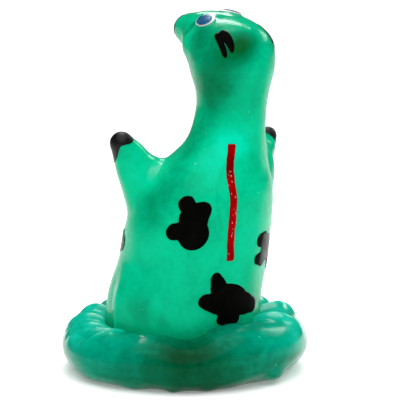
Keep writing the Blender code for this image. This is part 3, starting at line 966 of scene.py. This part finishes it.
def tone_rim(mesh):
    """Writes the roll's tone at each vertex, which is painted shade and painted highlight, and where it is
    stretched shiny.

    Painted shade makes it darkest low down, in the middle of the near side and on the far side; it is
    painted paler along its pleats as a highlight, and is shiny along them.
    """
    places = coordinates(mesh) / MM
    height = places[:, 2]
    angle = gap_between(RIM_NEAR, np.degrees(np.arctan2(places[:, 1], places[:, 0])))
    low = smooth_step(11, 2, height)
    near = bell((angle - 4) / 38)
    far = bell((np.abs(angle) - 180) / 45)
    pleated = np.empty(len(places), dtype=np.float32)
    mesh.attributes["pleated"].data.foreach_get("value", pleated)
    # Painted shade low down, at the near middle and on the far side; painted highlight along the pleats.
    tone = 0.28 + 0.21 * low + 0.37 * near - 0.15 * pleated + 0.15 * far
    # Painted shade: a dark patch in the middle of the near side, and a low dark streak to the right of it.
    tone += 0.30 * bell(angle / 15) * bell((height - 8.2) / 2.3)
    tone += 0.15 * bell((angle - 62) / 13) * bell((height - 5.2) / 0.8)
    write_attribute(mesh, "tone", tone)
    glint = 0.9 * smooth_step(5, 1, np.abs(angle + 23)) * smooth_step(9.8, 11, height)
    write_attribute(mesh, "polish", np.maximum(0.9 * smooth_step(0.2, 0.7, pleated), glint))


# ---------------------------------------------------------------- stage


def make_camera():
    """The camera, beside the figure and a little above it."""
    azimuth, pitch = math.radians(CAMERA_AZIMUTH), math.radians(CAMERA_PITCH)
    right = Vector((math.cos(azimuth), math.sin(azimuth), 0))
    flat = math.cos(pitch)
    back = Vector((math.sin(azimuth) * flat, -math.cos(azimuth) * flat, math.sin(pitch)))
    aim = right * AIM_RIGHT + Vector((0, 0, AIM_HEIGHT))
    data = bpy.data.cameras.new("camera")
    data.lens = CAMERA_LENS
    data.sensor_width = 36
    data.clip_start = 0.01
    camera = bpy.data.objects.new("camera", data)
    camera.location = (aim + back * CAMERA_DISTANCE) * MM
    camera.rotation_euler = (-back).to_track_quat("-Z", "Y").to_euler()
    bpy.context.scene.collection.objects.link(camera)
    bpy.context.scene.camera = camera


def softbox(name, place, target, size, power):
    """A rectangular light at a place, pointing at a target."""
    data = bpy.data.lights.new(name, "AREA")
    data.shape = "RECTANGLE"
    data.size = size[0] * MM
    data.size_y = size[1] * MM
    data.energy = power
    light = bpy.data.objects.new(name, data)
    light.location = Vector(place) * MM
    light.rotation_euler = (Vector(target) - Vector(place)).to_track_quat("-Z", "Y").to_euler()
    bpy.context.scene.collection.objects.link(light)


def make_stage():
    """The studio round the figure: sky, floor, wall and lights."""
    world = bpy.data.worlds.new("studio")
    bpy.context.scene.world = world
    world.use_nodes = True
    tree = world.node_tree
    direction = node(tree, "ShaderNodeSeparateXYZ")
    tree.links.new(node(tree, "ShaderNodeTexCoord").outputs["Generated"], direction.inputs[0])
    sky = ranged(tree, direction.outputs["Z"], 0.25, 0.6, 1.15, 0.35)
    tree.links.new(sky, tree.nodes["Background"].inputs["Strength"])
    bpy.context.scene.view_settings.view_transform = "Standard"

    shape = bmesh.new()
    bmesh.ops.create_circle(shape, cap_ends=True, segments=STAGE_AROUND, radius=FLOOR_RADIUS)
    floor = mesh_object("floor", shape)
    floor.location.z = -0.05 * MM
    made, tree, shader = new_material("floor")
    tree.links.new(ramp(tree, noise_of(tree, 30, 2.0), FLOOR_GREYS), shader.inputs["Base Color"])
    shader.inputs["Roughness"].default_value = 0.8
    shader.inputs["Specular IOR Level"].default_value = 0.1
    shader.inputs["Emission Color"].default_value = (1, 1, 1, 1)
    shader.inputs["Emission Strength"].default_value = 0.25
    floor.data.materials.append(made)

    # A pale wall far behind, which only the camera sees, so that it doesn't alter the light.
    shape = bmesh.new()
    loops = []
    corners = [math.radians(360 * k / STAGE_AROUND) for k in range(STAGE_AROUND)]
    for height in (-5, WALL_HEIGHT):
        ring = [(WALL_RADIUS * math.cos(turn), WALL_RADIUS * math.sin(turn), height) for turn in corners]
        loops.append([shape.verts.new(place) for place in ring])
    join_loops(shape, loops)
    wall = mesh_object("backdrop", shape)
    made, tree, shader = new_material("backdrop")
    tree.links.new(ramp(tree, noise_of(tree, 20, 2.0), WALL_GREYS), shader.inputs["Emission Color"])
    shader.inputs["Emission Strength"].default_value = 1.0
    wall.data.materials.append(made)
    wall.visible_diffuse = wall.visible_glossy = wall.visible_transmission = wall.visible_shadow = False

    data = bpy.data.lights.new("sky_panel", "SUN")
    data.energy = SKY_PANEL_ENERGY
    data.angle = math.radians(SKY_PANEL_SPREAD)
    panel = bpy.data.objects.new("sky_panel", data)
    panel.rotation_euler = Vector(SKY_PANEL_DIRECTION).to_track_quat("-Z", "Y").to_euler()
    bpy.context.scene.collection.objects.link(panel)
    for box in SOFTBOXES:
        softbox(*box)


# ---------------------------------------------------------------- build


def main():
    """Builds every piece, puts the rim, spots, stripe, nose, eyes and ears on the bodies they move with,
    hides the parts each piece replaces, and sets the stage.
    """
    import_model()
    make_camera()

    side = Vector((math.cos(HEAD_TURN), math.sin(HEAD_TURN), 0))
    front = Vector((0, -1, 0))
    body = Sweep(BODY, side, SNOUT_LENGTH)
    left_arm = Sweep(LEFT_ARM, front, HAND_LENGTH)
    right_arm = Sweep(RIGHT_ARM, front, HAND_LENGTH)

    green = latex("latex_skin", SKIN_GREENS, translucence=0.45, banding=0.0, grazing=1.0)
    rim_green = latex("latex_roll", ROLL_GREENS, translucence=0.2, banding=0.12, grazing=0.6)
    black = paint("black_paint", BLACKS, roughness=0.45, gloss=(0.01, 0.8, 0.58))
    red = paint("red_paint", REDS, roughness=0.35, gloss=(0.01, 0.8), scale=170, glints=0.6)
    white = paint("white_paint", WHITES, roughness=0.35, gloss=(0.2, 0.8))
    blue = paint("blue_paint", BLUES, roughness=0.25, gloss=(0.15, 0.8), scale=420)

    skin = build_skin(body, (left_arm, right_arm))
    tone_skin(skin.data, body)
    tree = BVHTree.FromPolygons([v.co for v in skin.data.vertices], [p.vertices for p in skin.data.polygons])

    centres = face_centres(skin.data)
    above = centres[:, 2] > NECK_TO_HEAD_Z
    left = arm_faces(centres, LEFT_ARM_BEND)
    right = arm_faces(centres, RIGHT_ARM_BEND)
    rest = ~(above | left | right | (centres[:, 2] < OPEN_END_Z))
    pieces = (
        ("body_skin", rest, "torso", "neck", NECK_BEND, ("torso_skin", "neck_skin")),
        ("head_skin_soft", above, "neck", "head", HEAD_BEND, ("head_skin",)),
        ("left_arm_skin_soft", left, "torso", "left_arm", LEFT_ARM_BEND, ("left_arm_skin",)),
        ("right_arm_skin_soft", right, "torso", "right_arm", RIGHT_ARM_BEND, ("right_arm_skin",)),
    )
    for name, keep, parent, child, bend, replaced in pieces:
        piece = part_of(skin, name, keep)
        piece.data.materials.append(green)
        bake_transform(piece)
        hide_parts(*replaced)
    bpy.data.objects.remove(skin)

    rim = build_rim(body)
    tone_rim(rim.data)
    rim.data.materials.append(rim_green)
    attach(rim, "torso")
    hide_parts("rim_outer_turn", "rim_inner_turn", "rim_bead")

    nose = tip_film("nose", body, *NOSE_TIP, tree)
    stripe = ribbon("back_stripe", body, BACK_STRIPE, STRIPE_WIDTH, tree)
    films = [
        (nose, "head", "nose_paint", black, "paint_black"),
        (stripe, "torso", "back_stripe_paint", red, "paint_red"),
    ]
    for name, place, circles in (
        ("upper_back_spot", UPPER_BACK_PLACE, UPPER_BACK_SPOT),
        ("lower_back_spot", LOWER_BACK_PLACE, LOWER_BACK_SPOT),
        ("right_side_spot", RIGHT_SIDE_PLACE, RIGHT_SIDE_SPOT),
        ("left_side_spot", LEFT_SIDE_PLACE, LEFT_SIDE_SPOT),
    ):
        made = film(f"{name}_film", body, place, run_together(circles), tree)
        films.append((made, "torso", name, black, "paint_black"))
    for label, eye, ear, mirror in (("left", EYES[0], EARS[0], 1), ("right", EYES[1], EARS[1], -1)):
        white_outline = run_together([(mirror * u, v, r) for u, v, r in EYE_WHITE])
        blue_outline = run_together([(mirror * u, v, r) for u, v, r in EYE_BLUE])
        ear_outline = rounded([(mirror * u, v) for u, v in EAR_STROKES][::mirror])
        eyeball = film(f"{label}_eye", body, eye, white_outline, tree)
        iris = film(f"{label}_iris", body, eye, blue_outline, tree, IRIS_LIFT)
        strokes = film(f"{label}_ear", body, ear, ear_outline, tree)
        films += [
            (eyeball, "head", f"{label}_eye_white", white, "paint_white"),
            (iris, "head", f"{label}_eye_blue", blue, "paint_blue"),
            (strokes, "head", f"{label}_ear_paint", black, "paint_black"),
        ]
    for made, rides_on, replaced, surface, slot in films:
        made.data.materials.append(surface)
        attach(made, rides_on)
        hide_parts(replaced)

    for label, arm, tip, bend in (
        ("left", left_arm, LEFT_HAND_TIP, LEFT_ARM_BEND),
        ("right", right_arm, RIGHT_HAND_TIP, RIGHT_ARM_BEND),
    ):
        hand = tip_film(f"{label}_hand", arm, *tip, tree)
        hand.data.materials.append(black)
        write_attribute(hand.data, "polish", np.full(len(hand.data.vertices), HAND_POLISH))
        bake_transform(hand)
        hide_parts(f"{label}_hand_paint")

    make_stage()


main()
